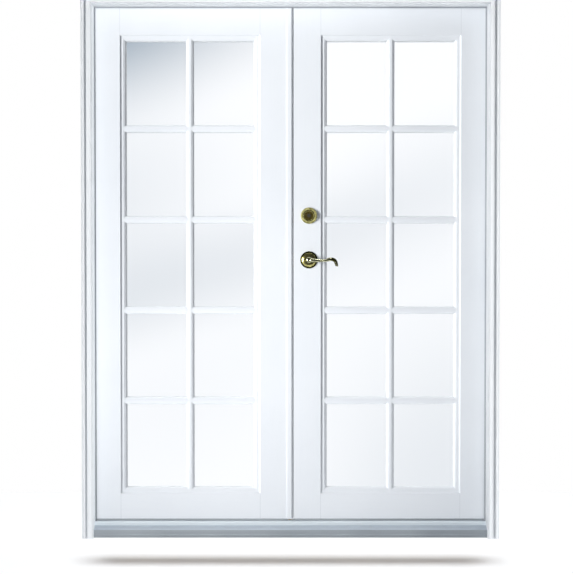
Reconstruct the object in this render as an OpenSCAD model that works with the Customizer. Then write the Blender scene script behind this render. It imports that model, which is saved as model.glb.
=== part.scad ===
// French doors: a pair of divided-light wood leaves hung in a moulded wood frame over a metal sill.
// X runs along the wall, Y through it from the outside to the room, Z up.
// The origin is at floor level, in the middle of the opening and the plane of the wall's outer face.

/* [Leaves] */
// Width of one leaf
leaf_w = 755.5; // [650:0.5:900]
// Height of one leaf
leaf_h = 1988; // [1800:1:2300]
// Thickness of a leaf
leaf_t = 44.5; // [42:0.5:50]
// Width of a stile, from its outer edge to the glass
stile_w = 131; // [120:1:160]
// Width of the top rail, from its outer edge to the glass
top_rail_w = 140; // [110:1:200]
// Width of the bottom rail, from its outer edge to the glass
bottom_rail_w = 122; // [110:1:260]
// Panes side by side in a leaf
lights_across = 2; // [2:1:3]
// Panes one above the other in a leaf
lights_up = 5; // [3:1:6]
// Running gap round a leaf
leaf_gap = 3; // [2:0.5:4]
// Gap between the threshold and a leaf
foot_gap = 8; // [6:0.5:10]
// Bevel of the lock edge, in degrees
bevel_a = 3; // [2.5:0.5:4]

/* [Moulding and glass] */
// Width of the moulded edge of stiles and rails
stick_w = 24; // [20:0.5:30]
// Width of the hollow next to the face
cove_w = 7; // [4:0.5:8]
// Depth of the ledge below the face
ledge_d = 5; // [3:0.5:6]
// Width of the round next to the glass, and of the rebate behind it
ovolo_w = 10; // [8:0.5:11]
// Depth of that round
ovolo_d = 8; // [6:0.5:9]
// Depth of the small step above that round
fillet_d = 1; // [0.5:0.25:2]
// Depth of the glass seat below the outer face
glass_seat_d = 16; // [15.5:0.5:18]
// Width of a glazing bar
muntin_w = 29; // [26:0.5:36]
// Thickness of a pane
pane_t = 5; // [4:0.5:8]
// Room round the edge of a pane in its rebate
pane_room = 2; // [1:0.5:3]

/* [Frame] */
// Depth of the jambs through the wall
jamb_d = 116; // [110:1:170]
// Depth of the rebate that a leaf closes into
rabbet_d = 11.5; // [10:0.5:14]
// Wood behind the rebate
jamb_back_t = 19; // [16:0.5:25]
// Thickness of the weatherstrip between stop and leaf
strip_t = 7.7; // [6:0.1:10]
// Room between the weatherstrip and a closed leaf
strip_gap = 0.3; // [0.2:0.1:0.6]
// How far the weatherstrip shows past the stop
strip_show = 5.5; // [3:0.5:7]
// Width of the weatherstrip's kerf
kerf_w = 3; // [2:0.5:4]
// Depth of the weatherstrip's kerf
kerf_d = 10; // [6:0.5:14]
// Width of the outside casing
casing_w = 37; // [34:0.5:60]
// Thickness of the outside casing
casing_t = 31.75; // [28:0.25:40]
// Set-back of the casing from the stop
casing_reveal = 2; // [1:0.5:6]
// Gap between floor and casing
casing_lift = 6; // [3:0.5:12]
// Radius of the holes for the fixing screws
fixing_r = 3; // [2.5:0.25:4]
// Height of the lower fixing screws
fixing_low = 600; // [560:10:700]
// Distance between lower and upper fixing screws
fixing_span = 1050; // [1000:10:1100]

/* [Sill] */
// Height of the threshold's top
cap_z = 57; // [50:0.5:70]
// Height of the threshold cap
cap_h = 16; // [12:0.5:20]
// Distance from the wall's outer face to the front of the threshold cap
cap_y = 50; // [44:0.5:56]
// Distance from the wall's outer face to the front of the sill
sill_y = 22; // [10:0.5:30]
// Height of the sill's front
sill_front_h = 30; // [24:0.5:34]
// Metal thickness of the sill cover
sill_t = 2; // [1.5:0.25:3]
// Ribs on the sill's tread
sill_ribs = 3; // [2:1:4]
// Width of a rib
rib_w = 2.4; // [1.5:0.1:3]
// Height of a rib
rib_h = 0.9; // [0.5:0.1:1.5]

/* [Astragal] */
// Width of the astragal between the leaves
astragal_w = 17; // [16:0.5:22]
// Lap of the astragal over the outer face of its leaf
flange_lap = 3.6; // [2:0.2:8]
// Thickness of that lap
flange_t = 3; // [2:0.25:4]
// Radius of a flush bolt
flush_r = 4; // [3:0.25:4.5]
// Length of a flush bolt
flush_l = 205; // [150:5:300]
// Throw of a flush bolt
flush_throw = 19; // [16:0.5:24]

/* [Hinges] */
// Hinges on each leaf
hinge_n = 3; // [2:1:4]
// Height of a hinge
hinge_h = 101.6; // [76:0.1:114]
// Thickness of a hinge plate
hinge_t = 3; // [2:0.25:3.5]
// How far a plate is let into the edge
hinge_reach = 32; // [26:0.5:36]
// Corner radius of a plate
hinge_corner_r = 15.9; // [6:0.1:20]
// Radius of a knuckle
barrel_r = 6.5; // [5.5:0.1:7]
// Radius of a hinge pin
hinge_pin_r = 3.5; // [3:0.1:4]
// Distance of the pin from the face of a leaf
pin_stand = 7.5; // [7.5:0.1:10]
// Top of a leaf to the middle of its top hinge
hinge_top = 229; // [180:1:300]
// Bottom of a leaf to the middle of its bottom hinge
hinge_bottom = 330; // [200:1:400]

/* [Lock and lever] */
// Lock edge to the middle of the lever and deadbolt
backset = 60.3; // [58:0.1:64]
// Height of the lever
lever_z = 1070; // [900:1:1150]
// Height of the deadbolt above the lever
deadbolt_rise = 171; // [140:1:200]
// Radius of the lever's rose
rose_r = 33.3; // [30:0.1:36]
// Height of the lever's rose
rose_h = 12; // [9:0.5:15]
// Radius of the lever's neck
neck_r = 9; // [8:0.25:10]
// Distance from the leaf to the middle of the lever's arm
lever_stand = 48; // [42:0.5:60]
// Length of the lever's arm
lever_l = 108; // [95:1:125]
// Radius of the cross bores under the roses
cross_bore_r = 27; // [25:0.1:28]
// Radius of the edge bores
edge_bore_r = 12.7; // [12.2:0.1:13]
// Radius of the latch and deadbolt cases
case_r = 12; // [11.5:0.1:12.1]
// Radius of the latch
latch_r = 8; // [7:0.1:9]
// Radius of the deadbolt
deadbolt_r = 9; // [8:0.1:9.5]
// Throw of the latch
latch_throw = 12.7; // [10:0.1:14]
// Throw of the deadbolt
deadbolt_throw = 25.4; // [22:0.1:26]
// Width of a square spindle
spindle_w = 7.6; // [7:0.1:8]
// Radius of the deadbolt's outer collar
collar_r = 31.5; // [29:0.1:34]
// Height of that collar
collar_h = 15; // [12:0.5:18]
// Radius of the lock cylinder
cylinder_r = 17; // [15:0.1:18]
// Radius of the key plug
plug_r = 6.9; // [6:0.1:8]

/* [Clearances] */
// Radial room of a hinge pin in its knuckles
pin_fit = 0.05; // [0.02:0.01:0.1]
// Room between parts that slide or turn in one another
slide_fit = 0.2; // [0.1:0.05:0.3]
// Room between neighbouring knuckles
knuckle_gap = 0.4; // [0.3:0.05:0.6]
// Joint between the mitred ends of two beads
mitre_gap = 0.15; // [0.1:0.05:0.3]
// Room between turning parts that don't guide one another
turn_room = 0.4; // [0.3:0.05:0.6]
// Room round a bolt in its strike
strike_room = 1.2; // [0.8:0.1:2]

/* [Hidden] */
$fn = 64;
arc_steps = 6;
cut = 1;

// Depths through the wall
leaf_y0 = jamb_d - leaf_t;
leaf_mid_y = jamb_d - leaf_t / 2;
shoulder_y = leaf_y0 - strip_gap - strip_t;
pin_y = jamb_d + pin_stand;

// Places along the wall: the leaf on the left is drawn, and the other mirrored
meet_half = (astragal_w + leaf_gap) / 2;
leaf_x1 = -meet_half;
leaf_x0 = leaf_x1 - leaf_w;
rabbet_x = leaf_gap - leaf_x0;
stop_x = rabbet_x - rabbet_d;
jamb_x = rabbet_x + jamb_back_t;
casing_x0 = stop_x + casing_reveal;
casing_x1 = casing_x0 + casing_w;
pin_x = leaf_x0 - leaf_gap / 2;

// Heights
leaf_z0 = cap_z + foot_gap;
leaf_z1 = leaf_z0 + leaf_h;
rabbet_z = leaf_z1 + leaf_gap;
stop_z = rabbet_z - rabbet_d;
jamb_z = rabbet_z + jamb_back_t;
casing_z0 = stop_z + casing_reveal;
casing_z1 = casing_z0 + casing_w;
deadbolt_z = lever_z + deadbolt_rise;

// Glass
sight_x0 = leaf_x0 + stile_w;
sight_x1 = leaf_x1 - stile_w;
sight_z0 = leaf_z0 + bottom_rail_w;
sight_z1 = leaf_z1 - top_rail_w;
light_w = (sight_x1 - sight_x0 - (lights_across - 1) * muntin_w) / lights_across;
light_h = (sight_z1 - sight_z0 - (lights_up - 1) * muntin_w) / lights_up;
pane_y = leaf_y0 + glass_seat_d;
bead_back_d = leaf_t - ledge_d;

// Lock edge
bevel_drop = leaf_t * tan(bevel_a);
lock_edge_x = meet_half + bevel_drop / 2;
lever_x = lock_edge_x + backset;
plate_t = 2.2;
plate_w = 25.4;
faceplate_h = 57;
strike_h = 70;
case_end_x = lever_x + case_r;
bolt_front_x = meet_half + bevel_drop + slide_fit;
bolt_back_x = lever_x - case_r;
tail_w = 6;
tail_t = 1.6;

// Astragal and flush bolts
flush_x = leaf_x1 + astragal_w / 2;
flush_end_gap = 0.5;
tab_w = 9;
tab_h = 22;
tab_recess = 0.8;
tab_reach = astragal_w / 2 - bevel_drop / 2 - tab_recess;
strike_bore_depth = flush_throw;
socket_wall = 3;
socket_h = 12;
seal_y0 = leaf_y0 + 3.5;
seal_y1 = seal_y0 + 5.5;
seal_room = 1.8;

paint = [0.94, 0.96, 0.98];
casing_paint = [0.96, 0.97, 0.98];
mill_grey = [0.66, 0.71, 0.75];
cap_grey = [0.82, 0.86, 0.89];
seal_grey = [0.42, 0.45, 0.48];
brass = [0.62, 0.52, 0.22];
dark_brass = [0.30, 0.22, 0.10];
steel = [0.72, 0.73, 0.74];
clear_glass = [0.90, 0.95, 0.98, 0.35];

// Left edge of light i and bottom edge of light j, at the sight line
function light_x(i) = sight_x0 + i * (light_w + muntin_w);
function light_z(j) = sight_z0 + j * (light_h + muntin_w);

// Middle height of hinge i, counted from the bottom
function hinge_z(i) =
    leaf_z0 + hinge_bottom + i * (leaf_h - hinge_top - hinge_bottom) / (hinge_n - 1);

// Right edge of the astragal at depth y: parallel to the bevelled lock edge
function astragal_edge(y) = leaf_x1 + astragal_w - bevel_drop * (jamb_d - y) / leaf_t;

// Lock edge of the active leaf at depth y
function lock_edge(y) = meet_half + bevel_drop * (jamb_d - y) / leaf_t;

// Sections are drawn as [distance from the sight line into the wood, depth below the outer face].
// Hollow next to the face: steep at the face, flat on the ledge
function cove_points() = [
    for (i = [0:arc_steps])
        let (t = 90 * i / arc_steps)
        [stick_w - cove_w * (1 - cos(t)), ledge_d * sin(t)]
];

// Round next to the glass: a small step, then flat on the ledge and steep at the glass
function ovolo_points() = concat(
    [[ovolo_w, ledge_d]],
    [
        for (i = [0:arc_steps])
            let (t = 90 * i / arc_steps)
            [ovolo_w * (1 - sin(t)), ledge_d + fillet_d + ovolo_d * (1 - cos(t))]
    ],
    [[0, glass_seat_d], [ovolo_w, glass_seat_d]]
);

// Stile or rail of width w
function stick_section(w) = concat(
    [[w, leaf_t], [w, 0]], cove_points(), ovolo_points(), [[ovolo_w, leaf_t]]
);

// Right half of a glazing bar, from its middle
function half_muntin() = concat(
    [for (p = ovolo_points()) [muntin_w / 2 - p[0], p[1]]],
    [[muntin_w / 2 - ovolo_w, bead_back_d]]
);
function muntin_section() = concat(
    half_muntin(),
    [for (i = [len(half_muntin()) - 1:-1:0]) [-half_muntin()[i][0], half_muntin()[i][1]]]
);

// Glazing bead on the room side, from the glass to its rounded edge
function bead_section() = concat(
    [[0, glass_seat_d + pane_t], [ovolo_w, glass_seat_d + pane_t], [ovolo_w, bead_back_d]],
    [
        for (i = [0:arc_steps])
            let (t = 90 * i / arc_steps)
            [ovolo_w * 0.8 * (1 - sin(t)), bead_back_d - ovolo_d * (1 - cos(t))]
    ]
);

// Upright bar of the left leaf: section towards dir from the line at x
module upright_bar(section, x, dir, z0, z1) {
    translate([x, leaf_y0, z0])
        linear_extrude(z1 - z0)
            polygon([for (p = section) [dir * p[0], p[1]]]);
}

// Level bar of the left leaf: section towards dir from the line at z
module level_bar(section, z, dir, x0, x1) {
    translate([x0, leaf_y0, z])
        rotate([90, 0, 90])
            linear_extrude(x1 - x0)
                polygon([for (p = section) [p[1], dir * p[0]]]);
}

// Outline in the Y-Z plane, extruded along X between x0 and x1
module along_x(points, x0, x1) {
    translate([x0, 0, 0])
        rotate([90, 0, 90])
            linear_extrude(x1 - x0)
                polygon(points);
}

// Round part on the axis of the lever or deadbolt: its +Z points out of the outer face
module at_outer_face(z) {
    translate([lever_x, leaf_y0, z])
        rotate([90, 0, 0])
            children();
}

// The same on the room side
module at_inner_face(z) {
    translate([lever_x, jamb_d, z])
        rotate([-90, 0, 0])
            children();
}

// Plane of the bevelled lock edge: +X points into the active leaf
module at_lock_edge(z) {
    translate([lock_edge_x, leaf_mid_y, z])
        rotate([0, 0, bevel_a])
            children();
}

// Plane of the astragal's edge: +X points out of the astragal
module at_astragal_edge(z) {
    translate([astragal_edge(leaf_mid_y), leaf_mid_y, z])
        rotate([0, 0, bevel_a])
            children();
}

// Leaf woodwork

module hinge_stile() {
    difference() {
        upright_bar(stick_section(stile_w), sight_x0, -1, leaf_z0, leaf_z1);
        for (i = [0:hinge_n - 1])
            hinge_gain(leaf_x0 - cut, hinge_t + cut, hinge_z(i));
    }
}

module meeting_stile_blank() {
    upright_bar(stick_section(stile_w), sight_x1, 1, leaf_z0, leaf_z1);
}

// Both stiles, which the rails are scribed over
module stile_blanks() {
    upright_bar(stick_section(stile_w), sight_x0, -1, leaf_z0 - cut, leaf_z1 + cut);
    upright_bar(stick_section(stile_w), sight_x1, 1, leaf_z0 - cut, leaf_z1 + cut);
}

module rail_blank(w, z, dir, x0, x1) {
    level_bar(stick_section(w), z, dir, x0, x1);
}

module top_rail() {
    difference() {
        rail_blank(top_rail_w, sight_z1, 1, sight_x0 - stick_w, sight_x1 + stick_w);
        stile_blanks();
    }
}

module bottom_rail() {
    difference() {
        rail_blank(bottom_rail_w, sight_z0, -1, sight_x0 - stick_w, sight_x1 + stick_w);
        stile_blanks();
    }
}

// Upright glazing bars, scribed over the rails
module upright_bars() {
    difference() {
        for (i = [1:lights_across - 1])
            upright_bar(muntin_section(), light_x(i) - muntin_w / 2, 1,
                sight_z0 - ovolo_w, sight_z1 + ovolo_w);
        rail_blank(top_rail_w, sight_z1, 1, sight_x0, sight_x1);
        rail_blank(bottom_rail_w, sight_z0, -1, sight_x0, sight_x1);
    }
}

// Level glazing bars, one length for each light, scribed over stiles and upright bars
module cross_bars() {
    for (i = [0:lights_across - 1])
        for (j = [1:lights_up - 1])
            difference() {
                level_bar(muntin_section(), light_z(j) - muntin_w / 2, 1,
                    light_x(i) - ovolo_w, light_x(i) + light_w + ovolo_w);
                bar_beside(light_x(i), -1, i == 0, j);
                bar_beside(light_x(i) + light_w, 1, i == lights_across - 1, j);
            }
}

// Short length of the stile or upright bar beside a light, at level bar j
module bar_beside(x, dir, is_stile, j) {
    z0 = light_z(j) - 2 * muntin_w;
    z1 = light_z(j) + muntin_w;
    if (is_stile)
        upright_bar(stick_section(stile_w), x, dir, z0, z1);
    else
        upright_bar(muntin_section(), x + dir * muntin_w / 2, 1, z0, z1);
}

module panes() {
    lap = ovolo_w - pane_room;
    for (i = [0:lights_across - 1])
        for (j = [0:lights_up - 1])
            translate([light_x(i) - lap, pane_y, light_z(j) - lap])
                cube([light_w + 2 * lap, pane_t, light_h + 2 * lap]);
}

// One bead below the middle of a light, with mitred ends
module bead(length, half) {
    intersection() {
        translate([-length / 2 - ovolo_w, 0, -half])
            rotate([90, 0, 90])
                linear_extrude(length + 2 * ovolo_w)
                    polygon([for (p = bead_section()) [p[1], -p[0]]]);
        rotate([-90, 0, 0])
            linear_extrude(leaf_t)
                polygon([
                    [mitre_gap - length / 2, half],
                    [length / 2 - mitre_gap, half],
                    [length / 2 + ovolo_w - mitre_gap, half + ovolo_w],
                    [mitre_gap - length / 2 - ovolo_w, half + ovolo_w]
                ]);
    }
}

module glazing_beads() {
    for (i = [0:lights_across - 1])
        for (j = [0:lights_up - 1])
            translate([light_x(i) + light_w / 2, leaf_y0, light_z(j) + light_h / 2])
                for (turn = [0:3])
                    rotate([0, 90 * turn, 0])
                        if (turn % 2 == 0)
                            bead(light_w, light_h / 2);
                        else
                            bead(light_h, light_w / 2);
}

// Rubber sweep under a leaf, with two fins that brush the threshold: it ends short of the meeting edge
module sweep(short) {
    base_t = 2.5;
    fin_t = 2;
    reach = foot_gap - slide_fit;
    margin = 8;
    along_x([
        [leaf_y0 + margin, leaf_z0],
        [leaf_y0 + margin, leaf_z0 - reach],
        [leaf_y0 + margin + fin_t, leaf_z0 - reach],
        [leaf_y0 + margin + 2 * fin_t, leaf_z0 - base_t],
        [jamb_d - margin - 2 * fin_t, leaf_z0 - base_t],
        [jamb_d - margin - fin_t, leaf_z0 - reach],
        [jamb_d - margin, leaf_z0 - reach],
        [jamb_d - margin, leaf_z0]
    ], leaf_x0, leaf_x1 - short);
}

// Hinges of the left side

// Plate outline along [distance from its rounded end, height]
module plate_outline(length) {
    translate([hinge_corner_r, -hinge_h / 2])
        square([length - hinge_corner_r, hinge_h]);
    translate([0, hinge_corner_r - hinge_h / 2])
        square([length, hinge_h - 2 * hinge_corner_r]);
    for (s = [-1, 1])
        translate([hinge_corner_r, s * (hinge_h / 2 - hinge_corner_r)])
            circle(hinge_corner_r);
}

// Recess for a plate, from x over a thickness t
module hinge_gain(x, t, z) {
    translate([x, jamb_d - hinge_reach, z])
        rotate([90, 0, 90])
            linear_extrude(t)
                plate_outline(hinge_reach + cut);
}

knuckle_n = 5;
knuckle_h = (hinge_h - (knuckle_n - 1) * knuckle_gap) / knuckle_n;

module knuckle_cylinder(k, r, extra) {
    translate([pin_x, pin_y, k * (knuckle_h + knuckle_gap) - hinge_h / 2 - extra])
        cylinder(r = r, h = knuckle_h + 2 * extra);
}

// One half of a butt hinge: plate from x, and every second knuckle from the first one given
module hinge_half(x, first) {
    difference() {
        union() {
            translate([x, jamb_d - hinge_reach, 0])
                rotate([90, 0, 90])
                    linear_extrude(hinge_t)
                        plate_outline(hinge_reach + pin_stand);
            for (k = [first:2:knuckle_n - 1])
                knuckle_cylinder(k, barrel_r, 0);
        }
        for (k = [1 - first:2:knuckle_n - 1])
            knuckle_cylinder(k, barrel_r + turn_room, knuckle_gap);
        translate([pin_x, pin_y, 0])
            cylinder(r = hinge_pin_r + pin_fit, h = hinge_h + 2 * cut, center = true);
    }
}

module jamb_hinge_plates() {
    for (i = [0:hinge_n - 1])
        translate([0, 0, hinge_z(i)])
            hinge_half(-rabbet_x - hinge_t, 0);
}

module leaf_hinge_plates() {
    for (i = [0:hinge_n - 1])
        translate([0, 0, hinge_z(i)])
            hinge_half(leaf_x0, 1);
}

// Pins with a turned button at each end
module hinge_pins() {
    button_h = 4;
    for (i = [0:hinge_n - 1])
        translate([pin_x, pin_y, hinge_z(i)])
            rotate_extrude()
                polygon(concat(
                    [[0, -hinge_h / 2 - button_h]],
                    [
                        for (s = [1, -1])
                            for (p = s > 0 ? pin_end(button_h) : mirrored(pin_end(button_h)))
                                p
                    ],
                    [[0, hinge_h / 2 + button_h]]
                ));
}

// Lower half of a pin's outline, from its button to its shank
function pin_end(h) = [
    [barrel_r * 0.6, -hinge_h / 2 - h],
    [barrel_r * 0.9, -hinge_h / 2 - h / 2],
    [barrel_r * 0.9, -hinge_h / 2],
    [hinge_pin_r, -hinge_h / 2]
];
function mirrored(points) = [
    for (i = [len(points) - 1:-1:0]) [points[i][0], -points[i][1]]
];

// Frame

// Plain outline of the left jamb from depth y0, which sill and head are fitted to
module jamb_outline(y0) {
    polygon([
        [-jamb_x, y0], [-stop_x, y0], [-stop_x, shoulder_y],
        [-rabbet_x, shoulder_y], [-rabbet_x, jamb_d], [-jamb_x, jamb_d]
    ]);
}

module jamb_blanks() {
    for (side = [0, 1])
        mirror([side, 0, 0])
            translate([0, 0, -cut])
                linear_extrude(jamb_z + 2 * cut)
                    jamb_outline(-cut);
}

module jamb() {
    fixing_y = (leaf_y0 + jamb_d) / 2;
    difference() {
        linear_extrude(jamb_z)
            difference() {
                jamb_outline(0);
                translate([-rabbet_x, shoulder_y - kerf_d])
                    square([kerf_w, kerf_d + cut]);
            }
        for (i = [0:hinge_n - 1])
            hinge_gain(-rabbet_x - hinge_t, hinge_t + cut, hinge_z(i));
        for (z = [fixing_low, fixing_low + fixing_span])
            translate([-jamb_x - cut, fixing_y, z])
                rotate([0, 90, 0])
                    cylinder(r = fixing_r, h = jamb_back_t + 2 * cut);
    }
}

strike_plate_w = 22;
strike_plate_l = 60;

module head_strike_blank(room) {
    translate([flush_x - strike_plate_l / 2, leaf_mid_y - strike_plate_w / 2, rabbet_z - room])
        cube([strike_plate_l, strike_plate_w, plate_t + room]);
}

module head_bolt_hole(r, depth) {
    translate([flush_x, leaf_mid_y, rabbet_z - cut])
        cylinder(r = r, h = depth + cut);
}

module sill_bolt_hole(r, depth) {
    translate([flush_x, leaf_mid_y, cap_z - depth])
        cylinder(r = r, h = depth + cut);
}

// Weatherstrip section as [distance past the rebate's bottom, depth]: a leg in the kerf and a round bulb
function strip_section() = concat(
    [[0, shoulder_y - kerf_d], [kerf_w, shoulder_y - kerf_d], [kerf_w, shoulder_y]],
    [
        for (i = [0:2 * arc_steps])
            let (t = 90 * i / arc_steps - 90, r = strip_t / 2)
            [rabbet_d + strip_show - r + r * cos(t), shoulder_y + r + r * sin(t)]
    ],
    [[0, shoulder_y + strip_t]]
);

module side_strip() {
    translate([0, 0, cap_z])
        linear_extrude(stop_z - strip_show - cap_z)
            polygon([for (p = strip_section()) [p[0] - rabbet_x, p[1]]]);
}

module head_strip() {
    difference() {
        along_x([for (p = strip_section()) [p[1], rabbet_z - p[0]]], -rabbet_x, rabbet_x);
        jamb_blanks();
    }
}

// Sill

base_z = cap_z - cap_h;
// Toe set back under the sill's face, and the height of the drip rib above it
toe_h = 5;
toe_d = 1.5;
drip_z = 12;
tread_slope = (base_z + sill_t - sill_front_h) / (cap_y - sill_y);
function tread_z(y) = sill_front_h + tread_slope * (y - sill_y);
function rib_points(k) =
    let (y = sill_y + (k + 0.7) * (cap_y - sill_y) / (sill_ribs + 0.4))
    [
        [y - rib_w / 2, tread_z(y - rib_w / 2)],
        [y - rib_w / 4, tread_z(y - rib_w / 4) + rib_h],
        [y + rib_w / 4, tread_z(y + rib_w / 4) + rib_h],
        [y + rib_w / 2, tread_z(y + rib_w / 2)]
    ];

// Sill piece from its Y-Z outline, notched round the jambs
module sill_piece(points) {
    difference() {
        along_x(points, -rabbet_x, rabbet_x);
        jamb_blanks();
    }
}

// Casing section as [distance from its inner edge, height above the wall]
casing_flat_w = 17;
casing_flat_t = casing_t - 11;
casing_groove_w = 7.5;
casing_groove_d = 9;
casing_step_w = 5.5;
casing_step_d = 5;
casing_round = 1.5;
function casing_section() =
    let (bead_s = casing_flat_w + casing_groove_w, bead_e = casing_w - casing_step_w,
        bead_r = (bead_e - bead_s) / 2)
    concat(
        [
            [0, 0], [0, casing_flat_t - casing_round], [casing_round, casing_flat_t],
            [casing_flat_w, casing_flat_t],
            [casing_flat_w + 1, casing_flat_t - casing_groove_d],
            [bead_s, casing_flat_t - casing_groove_d]
        ],
        [
            for (i = [0:2 * arc_steps])
                let (t = 180 - 90 * i / arc_steps)
                [bead_s + bead_r + bead_r * cos(t), casing_t - bead_r + bead_r * sin(t)]
        ],
        [
            [bead_e, casing_t - casing_step_d], [casing_w - casing_round, casing_t - casing_step_d],
            [casing_w, casing_t - casing_step_d - casing_round], [casing_w, 0]
        ]
    );

// Block with an outline in the X-Z plane, deep enough for the casing
module casing_block(points) {
    translate([0, cut, 0])
        rotate([90, 0, 0])
            linear_extrude(casing_t + 2 * cut)
                polygon(points);
}

module side_casing() {
    intersection() {
        translate([0, 0, casing_lift])
            linear_extrude(casing_z1 - casing_lift)
                polygon([for (p = casing_section()) [-casing_x0 - p[0], -p[1]]]);
        casing_block([
            [-casing_x1 - cut, casing_lift - cut], [-casing_x0, casing_lift - cut],
            [-casing_x0, casing_z0], [-casing_x1 - cut, casing_z1 + cut]
        ]);
    }
}

module head_casing_shape() {
    intersection() {
        along_x([for (p = casing_section()) [-p[1], casing_z0 + p[0]]], -casing_x1, casing_x1);
        casing_block([
            [-casing_x0, casing_z0], [casing_x0, casing_z0],
            [casing_x1 + cut, casing_z1 + cut], [-casing_x1 - cut, casing_z1 + cut]
        ]);
    }
}

// Astragal and flush bolts

module astragal_shape() {
    edge_round = 1;
    flange_top = stop_z - strip_show - 2 * cut;
    difference() {
        translate([0, 0, leaf_z0])
            linear_extrude(leaf_h)
                polygon([
                    [leaf_x1, jamb_d], [leaf_x1, leaf_y0], [leaf_x1 - flange_lap, leaf_y0],
                    [leaf_x1 - flange_lap, leaf_y0 - flange_t + edge_round],
                    [leaf_x1 - flange_lap + edge_round, leaf_y0 - flange_t],
                    [astragal_edge(leaf_y0) - edge_round, leaf_y0 - flange_t],
                    [astragal_edge(leaf_y0), leaf_y0 - flange_t + edge_round],
                    [astragal_edge(leaf_y0), leaf_y0], [astragal_edge(jamb_d), jamb_d]
                ]);
        translate([leaf_x1 - flange_lap - cut, leaf_y0 - flange_t - cut, flange_top])
            cube([astragal_w + flange_lap + 2 * cut, flange_t + cut, leaf_z1 - flange_top + cut]);
        translate([flush_x, leaf_mid_y, leaf_z1])
            flush_bolt_room();
        translate([flush_x, leaf_mid_y, leaf_z0])
            mirror([0, 0, 1])
                flush_bolt_room();
        at_astragal_edge(lever_z)
            edge_plate(-plate_t, cut, strike_h);
        at_astragal_edge(deadbolt_z)
            edge_plate(-plate_t, cut, strike_h);
        bolt_bore(lever_z, latch_r + strike_room, bolt_front_x - latch_throw - 2);
        bolt_bore(deadbolt_z, deadbolt_r + strike_room, bolt_front_x - deadbolt_throw - 2);
    }
}

// Rod and thumb tab of a flush bolt: the end of the astragal is at Z = 0, and the throw is upwards
module flush_bolt() {
    translate([0, 0, -flush_l])
        cylinder(r = flush_r, h = flush_l - flush_end_gap);
    translate([0, -tab_w / 2, -flush_l])
        cube([tab_reach, tab_w, tab_h]);
}

module flush_bolt_room() {
    translate([0, 0, -flush_l - slide_fit])
        cylinder(r = flush_r + slide_fit, h = flush_l + slide_fit + cut);
    translate([0, -tab_w / 2 - slide_fit, -flush_l - slide_fit])
        cube([astragal_w, tab_w + 2 * slide_fit, tab_h + flush_throw + 3 * slide_fit]);
}

// Seal on the astragal's edge, just short of the lock edge's path
module astragal_seal_shape() {
    lip = 1.2;
    translate([0, 0, leaf_z0])
        linear_extrude(leaf_h)
            polygon([
                [astragal_edge(seal_y0), seal_y0],
                [lock_edge(seal_y0) - seal_room - lip, seal_y0],
                [lock_edge(seal_y0) - seal_room, seal_y0 + lip],
                [lock_edge(seal_y1) - seal_room, seal_y1 - lip],
                [lock_edge(seal_y1) - seal_room - lip, seal_y1],
                [astragal_edge(seal_y1), seal_y1]
            ]);
}

// Lock and lever

// Plate in the plane of a lock edge, from x0 to x1 through it
module edge_plate(x0, x1, height) {
    translate([x0, -plate_w / 2, -height / 2])
        cube([x1 - x0, plate_w, height]);
}

// Bore along X for a latch or deadbolt, from x to behind the faceplate
module bolt_bore(z, r, x) {
    translate([x, leaf_mid_y, z])
        rotate([0, 90, 0])
            cylinder(r = r, h = bolt_front_x + plate_t - x);
}

module lock_stile_shape() {
    difference() {
        mirror([1, 0, 0])
            meeting_stile_blank();
        at_lock_edge((leaf_z0 + leaf_z1) / 2)
            translate([-bevel_drop - leaf_gap, -leaf_t, -leaf_h / 2 - cut])
                cube([bevel_drop + leaf_gap, 2 * leaf_t, leaf_h + 2 * cut]);
        for (z = [lever_z, deadbolt_z]) {
            at_outer_face(z)
                translate([0, 0, -leaf_t - cut])
                    cylinder(r = cross_bore_r, h = leaf_t + 2 * cut);
            translate([0, leaf_mid_y, z])
                rotate([0, 90, 0])
                    cylinder(r = edge_bore_r, h = case_end_x);
            at_lock_edge(z)
                edge_plate(-cut, plate_t, faceplate_h);
        }
    }
}

// Round case of a bolt with radius bolt_r, crossed by a bore of radius cross_r
module bolt_case(z, bolt_r, cross_r) {
    difference() {
        translate([meet_half, leaf_mid_y, z])
            rotate([0, 90, 0])
                cylinder(r = case_r, h = case_end_x - meet_half);
        at_lock_edge(z)
            translate([-leaf_t, -leaf_t, -leaf_t])
                cube([leaf_t + plate_t, 2 * leaf_t, 2 * leaf_t]);
        translate([meet_half - cut, leaf_mid_y, z])
            rotate([0, 90, 0])
                cylinder(r = bolt_r + slide_fit, h = bolt_back_x + slide_fit - meet_half + cut);
        translate([lever_x, leaf_mid_y, z])
            rotate([90, 0, 0])
                cylinder(r = cross_r, h = leaf_t, center = true);
    }
}

module faceplate(z, bolt_r) {
    difference() {
        at_lock_edge(z)
            edge_plate(0, plate_t, faceplate_h);
        bolt_bore(z, bolt_r + slide_fit, 0);
    }
}

module strike(z, bolt_r) {
    difference() {
        at_astragal_edge(z)
            edge_plate(-plate_t, 0, strike_h);
        bolt_bore(z, bolt_r + strike_room, leaf_x1 - leaf_gap);
    }
}

module bolt_rod(z, r) {
    translate([bolt_front_x, leaf_mid_y, z])
        rotate([0, 90, 0])
            cylinder(r = r, h = bolt_back_x - bolt_front_x);
}

// Latch with a sloping nose on the side that meets the strike as the leaf closes
module latch_shape() {
    difference() {
        bolt_rod(lever_z, latch_r);
        translate([bolt_front_x, leaf_mid_y, lever_z - latch_r - cut])
            linear_extrude(2 * latch_r + 2 * cut)
                polygon([
                    [-cut, latch_r / 2], [0, latch_r / 2],
                    [latch_throw * 0.8, -latch_r - cut], [-cut, -latch_r - cut]
                ]);
    }
}

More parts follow.
